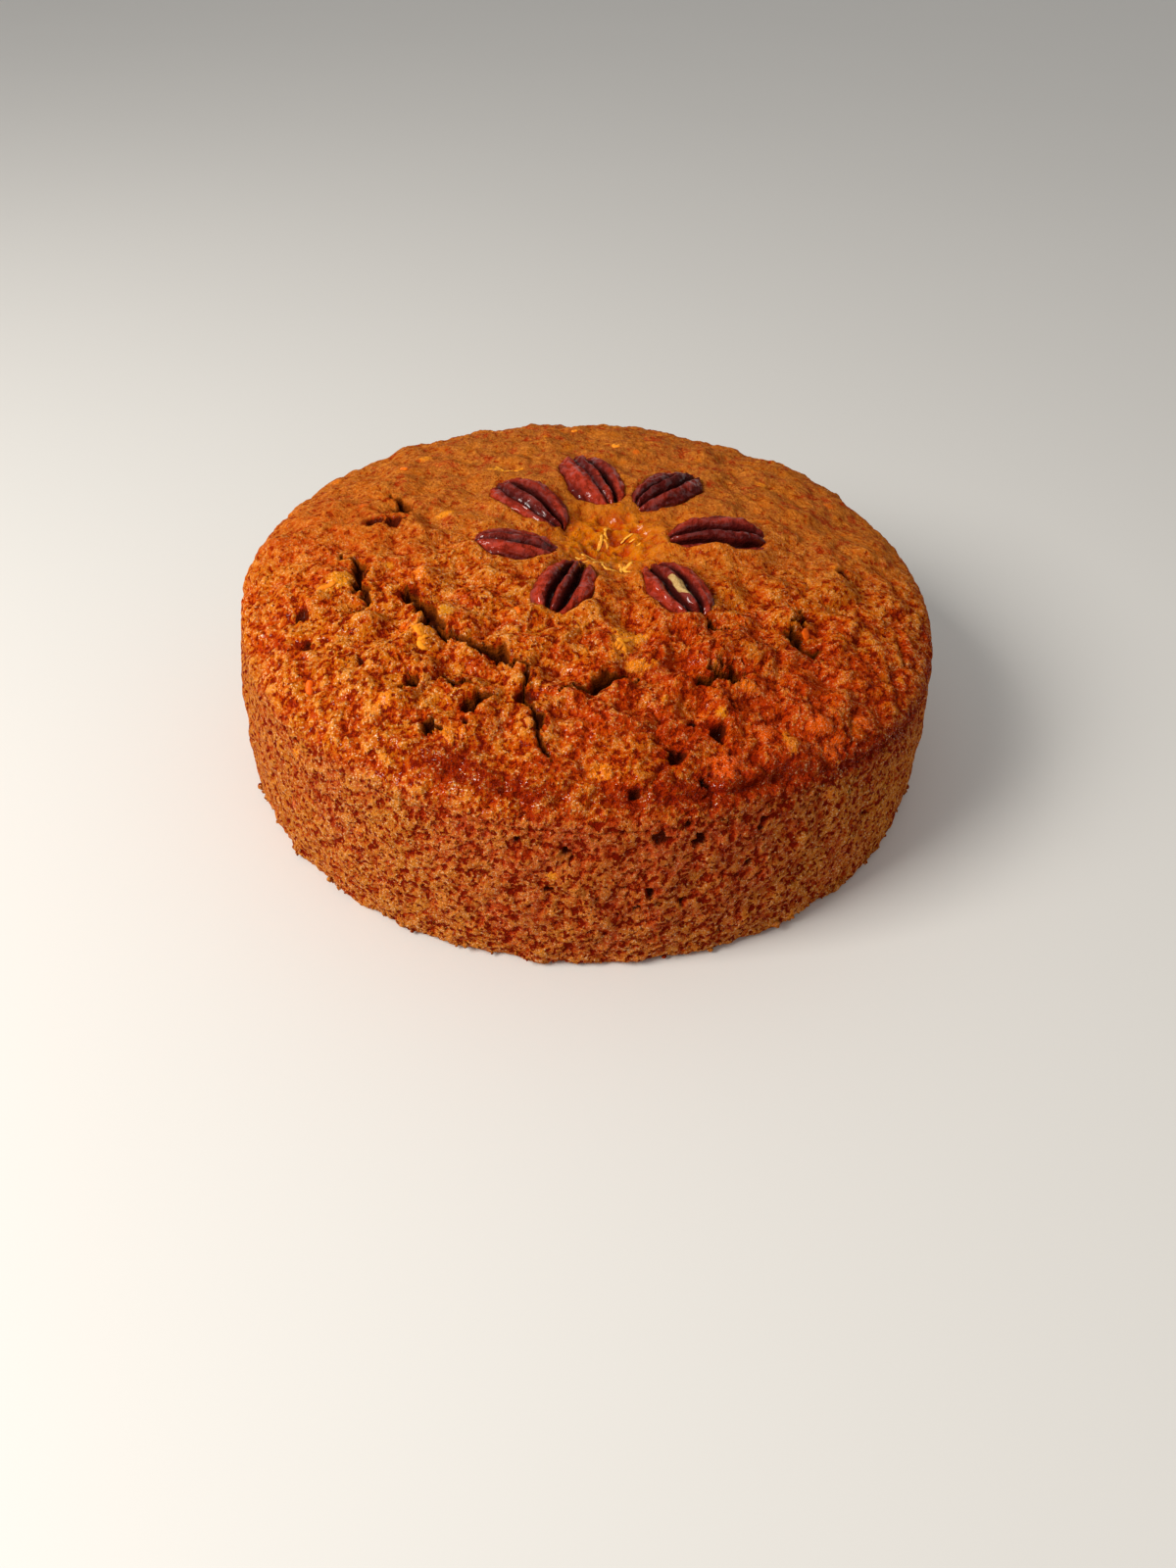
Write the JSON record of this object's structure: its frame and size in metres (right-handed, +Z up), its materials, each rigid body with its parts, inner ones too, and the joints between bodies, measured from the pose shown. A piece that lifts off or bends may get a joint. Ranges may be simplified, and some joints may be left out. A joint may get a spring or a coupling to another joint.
{
  "type": "carrot cake",
  "caption": "Whole round carrot cake with a straight baked wall, a domed and cracked golden-brown top, and a ring of pecan halves pressed in round a shallow dip.",
  "frame": {"origin": "centre of the flat base, where the cake rests", "axes": "+Z up through the dome, -Y towards the side that faces the camera in the picture, +X to the right as seen there"},
  "size_m": [0.204, 0.2038, 0.0706],
  "materials": {
    "crust": "baked crumb, matte and porous, with small glossy spots",
    "pecan_skin": "wrinkled nut skin, satin with a thin glaze"
  },
  "bodies": {
    "root": {"cake": "crust", "pecan_1": "pecan_skin", "pecan_2": "pecan_skin", "pecan_3": "pecan_skin", "pecan_4": "pecan_skin", "pecan_5": "pecan_skin", "pecan_6": "pecan_skin", "pecan_7": "pecan_skin"}
  },
  "joints": []
}
